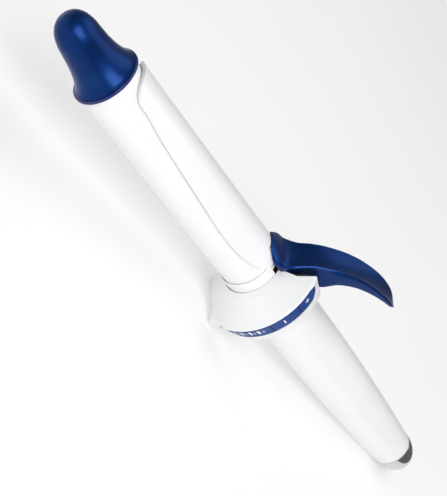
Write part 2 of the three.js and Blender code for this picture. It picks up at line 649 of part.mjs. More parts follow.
function handle() {
  const stops = [HANDLE_FRONT, 40, 62, 84, 104, 122, 139, HANDLE_BACK];
  const outer = stops.map((x) => [x, handleRadius(x)]);
  const inner = stops.map((x) => [x, handleRadius(x) - HANDLE_WALL]).reverse();
  piece('handle_sleeve', turned([...outer, ...inner]), WHITE_GLOSS);

  const capOutline = [[146, 8.1], [END_FRONT, 8.1], [END_FRONT, END_R], ...domeOutline(),
    [163.6, END_MOUTH_R], [163.6, 7], [146, 7]];
  piece('end_cap', turned(capOutline), BRIGHT_METAL);

  const swivel = [[159, CORD_BORE_R], [159, 6.4], [163.3, 6.4], [163.3, END_MOUTH_R - GAP],
    [SWIVEL_BACK, END_MOUTH_R - GAP], [SWIVEL_BACK, CORD_BORE_R]];
  piece('cord_swivel', turned(swivel, 32), BLACK_PLASTIC);
  piece('swivel_clip', ring(157.4, 158.7, 4.6, 6.6, 24), STEEL);
}

function electronics() {
  const carrier = cut(
    solidOf(block([24, -9.6, -7.4], [138, 9.6, 2.4])),
    solidOf(block([20, -8.3, -6.2], [142, 8.3, 6])),
    solidOf(block([118, -20, -20], [142, 20, -5.4])),
  );
  const bore = [22, 62, 100, 124, 142].map((x) => [x, handleRadius(x) - HANDLE_WALL - CARRIER_CLEARANCE]);
  const inHandle = solidOf(turned([[22, 0], ...bore, [142, 0]], 32));
  piece('board_carrier', carrier.intersect(inHandle), BLACK_PLASTIC);
  const holes = BOARD_SCREW_XS.map((x) => solidOf(rod([x, 0, -9], [x, 0, 0], SCREW_HOLE_R, 12)));
  const board = solidOf(block([30, -BOARD_HALF_WIDTH, BOARD_BOTTOM], [112, BOARD_HALF_WIDTH, BOARD_TOP]));
  piece('control_board', cut(board, ...holes), BOARD_GREEN);
  BOARD_SCREW_XS.forEach((x, i) => {
    const screw = turned([[-5.8, 0], [-5.8, 1], [-0.7, 1], [-0.7, 2], [0.3, 2], [0.3, 0]], 12);
    piece(`board_screw_${i + 1}`, screw.rotateY(-Math.PI / 2).translate(x, 0, 0), STEEL);
  });
  piece('capacitor', block([78, -7, PART_FOOT], [96, 1.5, 8]), COMPONENT);
  piece('triac', block([60, -6, PART_FOOT], [66, 4, 9]), COMPONENT);
  piece('controller_chip', block([44, -3.5, PART_FOOT], [54, 3.5, 1]), COMPONENT);
  piece('board_fuse', rod([98.5, 0.6, 1.6], [98.5, -6.4, 1.6], 2, 12), CERAMIC);
  piece('transformer', block([68.5, -6.5, PART_FOOT], [75.5, 6.5, 8.4]), COPPER);
  piece('terminal_block', block([108.5, -6.5, PART_FOOT], [111.8, 6.5, 6]), COMPONENT);
  const clampHalf = cut(
    solidOf(block([118, -7.4, -4.9], [128, 7.4, 3.6])),
    solidOf(rod([110, 0, -0.4], [136, 0, -0.4], 3.1, 20)),
  );
  piece('cord_clamp', clampHalf, BLACK_PLASTIC);
  const ribbon = bent([12, 1, 1], (u, v, w) => new THREE.Vector3(
    17.4 + 12.2 * u, -4 - 2.6 * v, -6.6 + 4.2 * Math.sin(0.5 * Math.PI * u) + 0.35 * w,
  ));
  piece('ribbon_cable', ribbon, WIRE_SLEEVE);
}

barrel();
clamp();
collar();
collarInside();
handle();
electronics();

// The iron rests on its feet and its metal end, with the middle of its box over the origin.
iron.rotation.y = REST_TILT;
const resting = new THREE.Group();
resting.add(iron);
resting.updateMatrixWorld(true);
const box = new THREE.Box3().setFromObject(resting, true);
const centre = box.getCenter(new THREE.Vector3());
iron.position.set(-centre.x, -centre.y, -box.min.z);

export default resting;
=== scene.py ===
import json
import math
from itertools import product

import bmesh
import bpy
import numpy as np
from mathutils import Matrix, Vector


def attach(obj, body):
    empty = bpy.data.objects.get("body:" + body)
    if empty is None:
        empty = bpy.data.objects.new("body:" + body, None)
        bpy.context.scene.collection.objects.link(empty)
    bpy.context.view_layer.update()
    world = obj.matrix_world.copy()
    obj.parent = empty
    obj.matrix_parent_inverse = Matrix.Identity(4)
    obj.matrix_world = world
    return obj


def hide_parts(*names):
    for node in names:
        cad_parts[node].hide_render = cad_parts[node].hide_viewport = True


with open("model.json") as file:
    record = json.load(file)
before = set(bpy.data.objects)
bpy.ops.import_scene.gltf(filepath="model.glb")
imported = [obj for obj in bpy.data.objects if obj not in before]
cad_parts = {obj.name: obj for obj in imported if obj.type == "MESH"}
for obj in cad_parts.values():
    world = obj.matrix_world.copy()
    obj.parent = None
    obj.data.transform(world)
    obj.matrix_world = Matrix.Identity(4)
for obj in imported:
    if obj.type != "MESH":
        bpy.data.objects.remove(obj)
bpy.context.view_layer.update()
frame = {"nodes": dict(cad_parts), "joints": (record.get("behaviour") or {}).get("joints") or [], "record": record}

# ---------------------------------------------------------------- the iron's own axes
MM = 0.001
SWIVEL_X = 165.0
JOINTS = {joint["name"]: joint for joint in frame["joints"]}
AXIS = Vector(JOINTS["cord_turn"]["axis"]).normalized()
SIDE = Vector((0.0, 1.0, 0.0))
UP = AXIS.cross(SIDE)
ORIGIN = Vector(JOINTS["cord_turn"]["pos_m"]) - AXIS * SWIVEL_X * MM
TO_FRAME = np.array([AXIS, SIDE, UP]) * MM


def to_frame(points):
    """Points in the iron's own millimetres, as points in the frame's metres."""
    return np.asarray(points, float).reshape(-1, 3) @ TO_FRAME + np.array(ORIGIN)


def to_iron(point):
    """A point of the frame, in the iron's own millimetres."""
    offset = Vector(point) - ORIGIN
    return np.array([offset.dot(AXIS), offset.dot(SIDE), offset.dot(UP)]) / MM


HINGE = to_iron(JOINTS["clamp_hinge"]["pos_m"])

# ---------------------------------------------------------------- driving sizes, in millimetres
BARREL_R = 13.25
BARREL_BORE_R = 12.15
BARREL_FRONT, BARREL_BACK = -124.3, -2.0
FLANGE_R = 14.7
FLANGE_FRONT, FLANGE_BACK = -126.0, -124.6
CAP_BASE, CAP_TIP = -126.3, -157.8
CAP_BASE_LIFT, CAP_TIP_LIFT, CAP_LIFT_POWER = 0.35, 1.5, 1.5
BLADE_INNER_R, BLADE_OUTER_R = 13.7, 15.16
BLADE_FRONT, BLADE_BODY_BACK, BLADE_BACK = -120.6, -6.1, -1.0
BLADE_CORNER, BLADE_CORNER_POWER = 8.6, 2.5
BLADE_FLARE, BLADE_FLARE_LENGTH = 0.35, 14
TONGUE_HALF_ANGLE, TONGUE_OVERLAP, TONGUE_INSET = 27.0, 1.5, 0.04
RING_FRONT, RING_BACK, RING_R = -5.6, 0.9, 13.98
RING_NOTCH_HALF = 8.6
COLLAR_BORE_R = 14.28
COLLAR_BACK, COLLAR_BACK_BORE_R = 20.6, 23.4
COLLAR_WALL = 1.6
COVER_FRONT, COVER_BACK, COVER_BORE_R, COVER_R = 18.4, 20.2, 14.6, 23.1
SLOT_HALF = 10.3
LEAN_SLOPE, LEAN_BLEND = 0.45, 1.5
BAND_FRONT, BAND_BACK = 9.0, 15.9
BAND_FRONT_R, BAND_BACK_R = 28.8, 26.8
BAND_DEPTH_R = 25.5
BAND_START, PLUS_END, MINUS_END, BAND_END = 28.0, 53.5, 84.5, 144.0
BAND_START_CLOSING, BAND_END_CLOSING = 9, 26
BAND_LEAST_SHARE, BAND_FRONT_SHARE, BAND_TIP = 0.03, 0.35, 0.4
KEY_GAP, KEY_CLEARANCE, KEY_FIRST = 0.35, 0.12, 0.8
OPENING_MARGIN, OPENING_DEPTH_R, OPENING_RAISE = 0.16, 22, 3
WINDOW_AZIMUTHS = (98.0, 106.5, 115.5, 124.0)
WINDOW_X, WINDOW_HALF_LENGTH, WINDOW_HALF_ANGLE = 12.1, 1.55, 1.35
WINDOW_END_SHARE, WINDOW_END_POWER = 0.35, 6
WINDOW_DEPTH_R, WINDOW_SUNK, WINDOW_MARGIN = 24.6, 0.02, 0.08
BAND_SUNK = 0.03
PRINT_DEPTH, PRINT_HEIGHT, PRINT_COLUMNS = 0.08, 0.062, 5
PLUS_MARK, MINUS_MARK = (43.2, 12.0), (71.2, 12.3)
PLUS_STROKES, MINUS_STROKES = [(2.3, 0.55), (0.55, 2.3)], [(2.6, 0.6)]
SCALE_NUMBERS = ((93.3, "120"), (102.3, "140"), (111.0, "160"), (119.8, "180"))
NUMBER_X, NUMBER_SIZE, NUMBER_THICKNESS = 12.1, 1.45, 0.03
FOOT_AZIMUTH, FOOT_X, FOOT_BULGE = 157.0, 11.9, 5.2
FOOT_INNER_SPREAD, FOOT_OUTER_SPREAD = 8.0, 18.0
FOOT_FRONT_LENGTH, FOOT_REAR_LENGTH = 5.0, 4.4
FOOT_ALONG_POWER, FOOT_ACROSS_POWER = 1.6, 1.3
HANDLE_FRONT, HANDLE_BACK = 17.1, 154.5
HANDLE_BELLY_R, HANDLE_BELLY_X = 14.26, 62.35
HANDLE_TAPER_LENGTH, HANDLE_TAPER_LINEAR, HANDLE_TAPER_SQUARE = 78.0, 0.855, 1.95
HANDLE_WALL = 2.0
END_FRONT, END_REST_X, END_MOUTH_X = 154.8, 155.2, 169.4
END_R, END_MOUTH_R = 10.6, 5.0
SPIGOT_FRONT, SPIGOT_R, SPIGOT_BORE_R, SWIVEL_SEAT_X = 146.0, 8.1, 7.0, 163.6
CORD_BORE_R, BUSH_R, BUSH_FRONT, BUSH_STEP_X, BUSH_PROUD = 3.8, 6.4, 159.0, 163.3, 0.6
EAR_R, EAR_INNER_Y, EAR_OUTER_Y, EAR_POCKET_MARGIN = 3.3, 4.7, 7.3, 1.2
PIN_R, PIN_HALF, PIN_HOLE_R = 1.1, 9.9, 1.4
SPRING_TURNS, SPRING_STEPS, SPRING_WIRE_R, SPRING_COIL_R = 4, 28, 0.4, 2.3
SPRING_HALF, SPRING_LEG_Y, SPRING_LEG = 3.4, 3.5, (1.5, 3.0, 4.5, 6.0)

ROUND = 144
CORNER_SHARE = 0.45
MERGE_DISTANCE, COLLAPSE_DISTANCE = 1e-7, 1e-8
SHARP = 40
SOFT_SHARP = 50


# ---------------------------------------------------------------- curves
def smooth_line(points, per_step):
    """A Catmull-Rom line through points, with per_step samples to each stretch."""
    control = np.asarray(points, float)
    control = np.vstack([2 * control[0] - control[1], control, 2 * control[-1] - control[-2]])
    samples = []
    for p0, p1, p2, p3 in zip(control, control[1:], control[2:], control[3:]):
        for t in np.linspace(0, 1, per_step, endpoint=False):
            samples.append(0.5 * (2 * p1 + (p2 - p0) * t + (2 * p0 - 5 * p1 + 4 * p2 - p3) * t ** 2
                                  + (3 * p1 - p0 - 3 * p2 + p3) * t ** 3))
    samples.append(control[-2])
    return np.array(samples)


def smooth_value(controls):
    """A smooth function of x through [x, value] controls."""
    samples = smooth_line(controls, 24)
    return lambda x: float(np.interp(x, samples[:, 0], samples[:, 1]))


def rounded(points, radii, steps=5):
    """A polyline whose corners are rounded by the radii given for each inner point."""
    points = [np.array(p, float) for p in points]
    outline = [points[0]]
    for before, corner, after, radius in zip(points, points[1:], points[2:], radii):
        into, out = before - corner, after - corner
        reach = min(radius, CORNER_SHARE * np.linalg.norm(into), CORNER_SHARE * np.linalg.norm(out))
        start = corner + into / np.linalg.norm(into) * reach
        end = corner + out / np.linalg.norm(out) * reach
        for t in np.linspace(0, 1, steps):
            outline.append((1 - t) ** 2 * start + 2 * t * (1 - t) * corner + t ** 2 * end)
    outline.append(points[-1])
    return np.array(outline)


def polar(x, azimuth, radius):
    """A point at an azimuth in degrees from the lever, positive towards the keys."""
    angle = np.radians(azimuth)
    return np.stack(np.broadcast_arrays(x, -radius * np.sin(angle), radius * np.cos(angle)), -1)


# ---------------------------------------------------------------- meshes
def mesh_object(name, points, faces, sharp=SHARP):
    """An object of the frame from points in the iron's millimetres."""
    mesh = bpy.data.meshes.new(name)
    mesh.from_pydata(to_frame(points).tolist(), [], faces)
    clean = bmesh.new()
    clean.from_mesh(mesh)
    bmesh.ops.remove_doubles(clean, verts=clean.verts, dist=MERGE_DISTANCE)
    bmesh.ops.dissolve_degenerate(clean, edges=clean.edges, dist=COLLAPSE_DISTANCE)
    bmesh.ops.recalc_face_normals(clean, faces=clean.faces)
    clean.to_mesh(mesh)
    clean.free()
    shade(mesh, sharp)
    piece = bpy.data.objects.new(name, mesh)
    bpy.context.scene.collection.objects.link(piece)
    return piece


def shade(mesh, sharp):
    mesh.shade_smooth()
    mesh.set_sharp_from_angle(angle=math.radians(sharp))


def grid_faces(rows, columns, close_rows=False, close_columns=False):
    """Quads of a grid of points stored row by row."""
    faces = []
    for i in range(rows if close_rows else rows - 1):
        for j in range(columns if close_columns else columns - 1):
            a, b = i * columns + j, i * columns + (j + 1) % columns
            c, d = ((i + 1) % rows) * columns + (j + 1) % columns, ((i + 1) % rows) * columns + j
            faces.append((a, b, c, d))
    return faces


def capped_faces(rows, columns):
    """Faces of a row of closed sections, with the first and the last one closed off."""
    faces = grid_faces(rows, columns, close_columns=True)
    faces.append(tuple(range(columns)))
    faces.append(tuple(range(rows * columns - 1, (rows - 1) * columns - 1, -1)))
    return faces


def turned(name, outline, segments=ROUND):
    """A piece turned about the axis from a closed outline of [x, radius] points."""
    outline = np.asarray(outline, float)
    azimuths = np.linspace(0, 360, segments, endpoint=False)
    points = polar(outline[:, None, 0], azimuths[None, :], outline[:, None, 1])
    return mesh_object(name, points, grid_faces(len(outline), segments, close_rows=True, close_columns=True))


def slotted(name, outline, azimuths_for, moved=None):
    """A turned piece that is open between two azimuths, so that its ends are flat walls."""
    outline = np.asarray(outline, float)
    rows = []
    for i, (x, radius) in enumerate(outline):
        azimuths = azimuths_for(radius)
        radii = np.full(len(azimuths), radius)
        if moved is not None:
            azimuths = azimuths_for(moved(i, x, radius, azimuths))
            radii = moved(i, x, radius, azimuths)
        rows.append(polar(x, azimuths, radii))
    points = np.array(rows)
    count, columns = points.shape[:2]
    faces = grid_faces(count, columns, close_rows=True)
    faces.append(tuple(i * columns for i in range(count)))
    faces.append(tuple(i * columns + columns - 1 for i in reversed(range(count))))
    return mesh_object(name, points, faces)


def box_cells(slices, place):
    """Points and faces of a box of slices[0] x slices[1] x slices[2] cells, each corner at place(u, v, w)."""
    points, faces, known = [], [], {}

    def corner(cell):
        if cell not in known:
            known[cell] = len(points)
            points.append(place(*(step / count for step, count in zip(cell, slices))))
        return known[cell]

    for fixed, first, second in ((2, 0, 1), (1, 0, 2), (0, 1, 2)):
        for a, b, end in product(range(slices[first]), range(slices[second]), (0, slices[fixed])):
            face = []
            for beside, above in ((0, 0), (1, 0), (1, 1), (0, 1)):
                steps = {fixed: end, first: a + beside, second: b + above}
                face.append(corner((steps[0], steps[1], steps[2])))
            faces.append(face)
    return points, faces


def boxed(name, slices, place):
    """A piece bent out of a box of cells, as box_cells() makes it."""
    return mesh_object(name, *box_cells(slices, place))


def bar(name, start, end, radius, segments=48):
    """A round bar between two points in the iron's millimetres."""
    start, end = np.array(start, float), np.array(end, float)
    way = (end - start) / np.linalg.norm(end - start)
    across = np.cross(way, [0.0, 0.0, 1.0] if abs(way[2]) < 0.9 else [1.0, 0.0, 0.0])
    across /= np.linalg.norm(across)
    other = np.cross(way, across)
    angles = np.linspace(0, 2 * np.pi, segments, endpoint=False)
    rim = np.cos(angles)[:, None] * across + np.sin(angles)[:, None] * other
    points = np.vstack([start + rim * radius, end + rim * radius])
    return mesh_object(name, points, capped_faces(2, segments))


def apply_modifiers(piece, sharp):
    """Makes the piece's modified mesh its own."""
    graph = bpy.context.evaluated_depsgraph_get()
    mesh = bpy.data.meshes.new_from_object(piece.evaluated_get(graph))
    piece.modifiers.clear()
    piece.data = mesh
    shade(mesh, sharp)
    return piece


def boolean(piece, tool, operation="DIFFERENCE", sharp=SHARP):
    """Cuts or joins with a tool, which is then removed."""
    modifier = piece.modifiers.new("cut", "BOOLEAN")
    modifier.operation = operation
    modifier.solver = "EXACT"
    modifier.object = tool
    apply_modifiers(piece, sharp)
    bpy.data.objects.remove(tool)
    return piece


def soften(piece, width, segments=3, angle=SHARP):
    """Rounds the piece's edges that are sharper than an angle, by a width in millimetres."""
    modifier = piece.modifiers.new("soften", "BEVEL")
    modifier.width = width * MM
    modifier.segments = segments
    modifier.limit_method = "ANGLE"
    modifier.angle_limit = math.radians(angle)
    return apply_modifiers(piece, SOFT_SHARP)


def finished(piece, slot, body, *replaced, look=None):
    """Gives a piece its slot's look or another, attaches it to its body and hides the CAD nodes that it stands
    for.
    """
    piece.data.materials.clear()
    piece.data.materials.append(look or LOOKS[slot])
    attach(piece, body)
    if replaced:
        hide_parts(*replaced)
    return piece


# ---------------------------------------------------------------- materials
BUMP_DISTANCE = 0.0001
NOISE_LOW, NOISE_HIGH = 0.3, 0.7
WHITE_DARK, WHITE_LIGHT = (0.83, 0.835, 0.845), (0.85, 0.855, 0.865)


class Look:
    """A material with its node tree, and short ways to add nodes to it."""

    def __init__(self, name):
        self.material = bpy.data.materials.new(name)
        self.material.use_nodes = True
        self.nodes = self.material.node_tree.nodes
        self.links = self.material.node_tree.links
        self.shader = self.nodes["Principled BSDF"]
        self.place = self.nodes.new("ShaderNodeTexCoord").outputs["Object"]

    def set(self, **values):
        """Sets constants on the shader's own sockets."""
        for name, value in values.items():
            self.shader.inputs[name.replace("_", " ")].default_value = value
        return self

    def noise(self, scale, detail):
        node = self.nodes.new("ShaderNodeTexNoise")
        node.inputs["Scale"].default_value = scale
        node.inputs["Detail"].default_value = detail
        self.links.new(self.place, node.inputs["Vector"])
        return node.outputs["Fac"]

    def cells(self, scale):
        node = self.nodes.new("ShaderNodeTexVoronoi")
        node.inputs["Scale"].default_value = scale
        self.links.new(self.place, node.inputs["Vector"])
        separate = self.nodes.new("ShaderNodeSeparateColor")
        self.links.new(node.outputs["Color"], separate.inputs["Color"])
        return separate.outputs["Red"]

    def ramp(self, value, stops):
        node = self.nodes.new("ShaderNodeValToRGB")
        elements = node.color_ramp.elements
        while len(elements) < len(stops):
            elements.new(0.5)
        for element, (position, color) in zip(elements, stops):
            element.position = position
            element.color = (*color, 1.0)
        self.links.new(value, node.inputs["Fac"])
        return node.outputs["Color"]

    def span(self, value, low, high):
        """A noise's usual values, spread from low to high."""
        node = self.nodes.new("ShaderNodeMapRange")
        node.inputs["To Min"].default_value = low
        node.inputs["To Max"].default_value = high
        node.inputs["From Min"].default_value = NOISE_LOW
        node.inputs["From Max"].default_value = NOISE_HIGH
        self.links.new(value, node.inputs["Value"])
        return node.outputs["Result"]

    def multiplied(self, first, second):
        node = self.nodes.new("ShaderNodeMix")
        node.data_type = "RGBA"
        node.blend_type = "MULTIPLY"
        node.inputs["Factor"].default_value = 1.0
        self.links.new(first, node.inputs["A"])
        self.links.new(second, node.inputs["B"])
        return node.outputs["Result"]

    def paint(self, color):
        self.links.new(color, self.shader.inputs["Base Color"])
        return self

    def rough(self, value, low, high):
        self.links.new(self.span(value, low, high), self.shader.inputs["Roughness"])
        return self

    def bump(self, height, strength):
        node = self.nodes.new("ShaderNodeBump")
        node.inputs["Strength"].default_value = strength
        node.inputs["Distance"].default_value = BUMP_DISTANCE
        self.links.new(height, node.inputs["Height"])
        self.links.new(node.outputs["Normal"], self.shader.inputs["Normal"])
        return self


def moulded(name, dark, light, roughness, coat=0.0, peel=0.03):
    """A moulded plastic: faint cloudy tone, uneven gloss and a fine orange-peel skin."""
    look = Look(name)
    look.paint(look.ramp(look.noise(55, 4), [(NOISE_LOW, dark), (NOISE_HIGH, light)]))
    look.rough(look.noise(420, 3), roughness * 0.92, roughness * 1.1)
    look.bump(look.noise(1400, 2), peel)
    look.set(Coat_Weight=coat, Coat_Roughness=0.1, IOR=1.5)
    return look.material


def white_gloss():
    return moulded("white_gloss_plastic", WHITE_DARK, WHITE_LIGHT, 0.3, coat=0.3, peel=0.004)


def white_coating():
    """The barrel's baked coating: white and satin, under a thin clear layer."""
    look = Look("white_ceramic_coating")
    look.paint(look.ramp(look.noise(40, 4), [(NOISE_LOW, WHITE_DARK), (NOISE_HIGH, WHITE_LIGHT)]))
    look.rough(look.noise(300, 2), 0.3, 0.36)
    look.bump(look.noise(1500, 2), 0.004)
    look.set(Coat_Weight=0.2, Coat_Roughness=0.2, IOR=1.5)
    return look.material


def blue_pearl():
    """Deep blue pearl plastic: a dark metallic base under a thin coat, with a faint lavender sheen."""
    look = Look("blue_pearl_plastic")
    depth = look.ramp(look.noise(90, 4), [(0.3, (0.001, 0.022, 0.125)), (0.7, (0.0015, 0.034, 0.165))])
    flakes = look.ramp(look.cells(5200), [(0.0, (0.95, 0.955, 0.965)), (1.0, (1, 1, 1))])
    look.paint(look.multiplied(depth, flakes))
    look.rough(look.noise(700, 3), 0.38, 0.44)
    look.bump(look.noise(1600, 2), 0.004)
    look.set(Metallic=0.85, Specular_Tint=(0.9, 0.92, 1.0, 1.0), IOR=1.35)
    look.set(Coat_Weight=0.1, Coat_Roughness=0.15)
    look.set(Sheen_Weight=0.35, Sheen_Roughness=0.25, Sheen_Tint=(0.7, 0.75, 1.0, 1.0))
    return look.material


def blue_dark():
    return moulded("blue_dark_plastic", (0.003, 0.01, 0.11), (0.005, 0.016, 0.14), 0.35, coat=0.1)


def blue_key():
    return moulded("blue_key_plastic", (0.004, 0.038, 0.2), (0.007, 0.05, 0.25), 0.55, peel=0.04)


def white_mark():
    return moulded("white_print", (0.82, 0.84, 0.88), (0.88, 0.9, 0.93), 0.45)


def white_lens():
    look = Look("white_light_window")
    look.paint(look.ramp(look.noise(900, 2), [(0.3, (0.84, 0.87, 0.9)), (0.7, (0.92, 0.94, 0.96))]))
    look.rough(look.noise(1500, 2), 0.25, 0.35)
    look.bump(look.noise(2600, 2), 0.03)
    look.set(Subsurface_Weight=0.2, Subsurface_Scale=0.0006)
    return look.material


def black_plastic():
    return moulded("black_heatproof_plastic", (0.008, 0.008, 0.009), (0.014, 0.014, 0.015), 0.55, peel=0.12)


def metal(name, dark, light, low, high, grain=900):
    """A metal with a fine grain and slightly uneven polish."""
    look = Look(name)
    look.paint(look.ramp(look.noise(grain, 4), [(NOISE_LOW, dark), (NOISE_HIGH, light)]))
    look.rough(look.noise(grain * 0.4, 3), low, high)
    look.bump(look.noise(grain * 2, 2), 0.015)
    look.set(Metallic=1.0)
    return look.material


def bright_metal():
    return metal("polished_chrome", (0.66, 0.67, 0.68), (0.72, 0.73, 0.74), 0.08, 0.14, grain=500)


def board_green():
    look = Look("circuit_board")
    tracks = look.cells(380)
    greens = [(0.0, (0.012, 0.12, 0.05)), (0.55, (0.02, 0.17, 0.08)), (1.0, (0.05, 0.26, 0.12))]
    look.paint(look.ramp(tracks, greens))
    look.rough(look.noise(800, 3), 0.3, 0.45)
    look.bump(tracks, 0.2)
    return look.material


LOOKS = {
    "white_coating": white_coating(),
    "white_gloss": white_gloss(),
    "blue_pearl": blue_pearl(),
    "blue_dark": blue_dark(),
    "blue_key": blue_key(),
    "white_lens": white_lens(),
    "black_plastic": black_plastic(),
    "bright_metal": bright_metal(),
    "steel": metal("steel", (0.5, 0.51, 0.53), (0.58, 0.59, 0.6), 0.25, 0.4),
    "spreader_aluminium": metal("spreader_aluminium", (0.62, 0.63, 0.65), (0.7, 0.71, 0.72), 0.3, 0.45),
    "heater_ceramic": moulded("heater_ceramic", (0.72, 0.68, 0.58), (0.8, 0.77, 0.68), 0.6, peel=0.1),
    "board_green": board_green(),
    "copper_winding": metal("copper_winding", (0.55, 0.26, 0.1), (0.66, 0.34, 0.15), 0.3, 0.45, grain=1600),
    "wire_sleeve": moulded("wire_sleeve", (0.66, 0.62, 0.52), (0.74, 0.7, 0.6), 0.6, peel=0.08),
}
WHITE_MARK = white_mark()


def dress_cad_nodes():
    """Every CAD node gets the material of its slot. Those that a piece stands for are hidden later."""
    slots = {part["node"]: part["material_slot"] for part in frame["record"]["subparts"]}
    for name, node in frame["nodes"].items():
        node.data.materials.clear()
        node.data.materials.append(LOOKS[slots[name]])


# ---------------------------------------------------------------- barrel and cool tip
def barrel():
    front = rounded([[BARREL_BACK, BARREL_R], [BARREL_FRONT, BARREL_R], [BARREL_FRONT, BARREL_BORE_R],
                     [BARREL_BACK, BARREL_BORE_R]], [0.35, 0.3])
    finished(turned("barrel", front), "white_coating", "body", "barrel_tube")


def cap_lift(x):
    """How far the bell's middle stands above the barrel's axis."""
    share = np.maximum(0, (CAP_BASE - x) / (CAP_BASE - CAP_TIP))
    return CAP_BASE_LIFT + CAP_TIP_LIFT * share ** CAP_LIFT_POWER


def cool_tip():
    bell = smooth_line([[CAP_BASE, 14.15], [-127.6, 13.15], [-130, 12], [-134, 10.8], [-139, 9.9],
                        [-144, 9.4], [-149, 8.82], [-153.5, 7.25], [-156.6, 4.35], [CAP_TIP, 0.0]], 8)
    rim = [[CAP_BASE + 0.1, 12.4], [CAP_BASE + 0.1, 14.0]]
    inside = [[CAP_TIP, 0.01], [-149.0, 0.01], [-149.0, 5.4], [-144.0, 7.4], [-134.0, 9.0], [-130.0, 10.4],
              [CAP_BASE + 1, 11.6]]
    outline = np.vstack([rim, bell[:-1], inside])
    azimuths = np.linspace(0, 360, ROUND, endpoint=False)
    points = polar(outline[:, None, 0], azimuths[None, :], outline[:, None, 1])
    points[..., 2] += cap_lift(points[..., 0])
    faces = grid_faces(len(outline), ROUND, close_rows=True, close_columns=True)
    cap = mesh_object("cool_tip", points, faces, SOFT_SHARP)
    finished(cap, "blue_pearl", "body", "tip_cap")
    disc = rounded([[-125.2, 2.2], [FLANGE_FRONT, 2.2], [FLANGE_FRONT, FLANGE_R], [FLANGE_BACK, FLANGE_R],
                    [FLANGE_BACK, 2.2], [-125.1, 2.2]], [0.1, 0.5, 0.5, 0.1])
    finished(turned("cool_tip_flange", disc), "blue_dark", "body", "tip_flange")


# ---------------------------------------------------------------- clamp blade and lever
BLADE_HALF_ANGLES = [[-121, 49.5], [-108, 50.5], [-94, 57], [-60, 66.5], [-38, 71.5], [-22, 69], [-12, 59],
                     [-6, 45]]
blade_half_angle = smooth_value(BLADE_HALF_ANGLES)


def blade_width(x):
    """Half the blade's width as an azimuth, closing to a rounded end at the front."""
    reach = max(0.0, (BLADE_FRONT + BLADE_CORNER - x) / BLADE_CORNER)
    corner = max(0.0, 1 - reach ** BLADE_CORNER_POWER) ** (1 / BLADE_CORNER_POWER)
    return blade_half_angle(x) * corner


def clamp_blade():
    corner = 1 - np.cos(np.linspace(0.06, math.pi / 2, 18))
    stops = np.concatenate([BLADE_FRONT + BLADE_CORNER * corner,
                            np.linspace(BLADE_FRONT + BLADE_CORNER, BLADE_BODY_BACK, 72)[1:]])

    def place(u, v, w):
        x = stops[round(u * (len(stops) - 1))]
        lift = BLADE_FLARE * max(0.0, (BLADE_FRONT + BLADE_FLARE_LENGTH - x) / BLADE_FLARE_LENGTH) ** 2
        radius = BLADE_INNER_R + lift + w * (BLADE_OUTER_R - BLADE_INNER_R)
        return polar(x, blade_width(x) * (2 * v - 1), radius)

    blade = boxed("clamp_blade_skin", (len(stops) - 1, 48, 2), place)

    def tongue_place(u, v, w):
        start = BLADE_BODY_BACK - TONGUE_OVERLAP
        x = start + u * (BLADE_BACK - start)
        radius = BLADE_INNER_R + TONGUE_INSET + w * (BLADE_OUTER_R - BLADE_INNER_R - 2 * TONGUE_INSET)
        return polar(x, TONGUE_HALF_ANGLE * (2 * v - 1), radius)

    blade = soften(blade, 0.45, 4, 50)
    boolean(blade, boxed("tongue", (4, 24, 1), tongue_place), "UNION")
    finished(blade, "white_coating", "clamp", "clamp_blade")


LEVER_TOP = [[-12.2, 16.2], [-7, 16.7], [-2.1, 17.4], [1.9, 21], [5.6, 26.5], [10.3, 31.5], [16.7, 36.6],
             [21.3, 39.4], [25.7, 41.6], [32, 43.9], [37.7, 45.4], [44, 46.3], [49.5, 46.3], [53.4, 45.3]]
LEVER_UNDER = [[-12.2, 15.4], [-7, 15.0], [-1.5, 14.6], [4.5, 14.9], [7.2, 18.6], [10.5, 21.8], [19.4, 23.2],
               [22.6, 31], [27.5, 36.6], [33.2, 40.2], [38.2, 42.4], [44, 44.1], [49.2, 44.8], [53.1, 44.8]]
LEVER_HALF_WIDTHS = [5.0, 8.9, 9.3, 8.0, 7.5, 7.4, 7.2, 7.1, 7, 6.8, 6.6, 6.1, 4.9, 1.6]
LEVER_DISH = [-1.2, -1.3, -0.6, 0.5, 1.1, 1.3, 1.4, 1.4, 1.35, 1.3, 1.1, 0.8, 0.4, 0.1]


LEVER_RIDGE, LEVER_EDGE, LEVER_EDGE_SHARE, LEVER_EDGE_POWER = 0.9, 0.8, 0.4, 2.2
LEVER_CROWN, LEVER_RIM_INSET, LEVER_FLANK_INSET = 0.35, 0.02, 0.09
LEVER_BLADE_GAP, LEVER_LEAST_THICKNESS = 0.3, 0.35
LEVER_LIFTS_AT, LEVER_LIFT_LENGTH = 4.6, 4
LEVER_STEPS = 10


def lever_underside(under, y, on_blade):
    """The underside's height at y: a flat one, pressed onto the blade's round top where on_blade is 1."""
    blade_top = math.sqrt((BLADE_OUTER_R + LEVER_BLADE_GAP) ** 2 - y * y)
    return under[1] + on_blade * (blade_top - under[1])


def lever_flank(rim, under, on_blade, shares):
    """Points down a flank, from the thumb face's rim to the underside."""
    flank = []
    for share in shares:
        y = rim[1] * (1 - LEVER_FLANK_INSET * share)
        drop = share * (lever_underside(under, y, on_blade) - rim[2])
        flank.append((rim[0] + share * (under[0] - rim[0]), y, rim[2] + drop))
    return flank


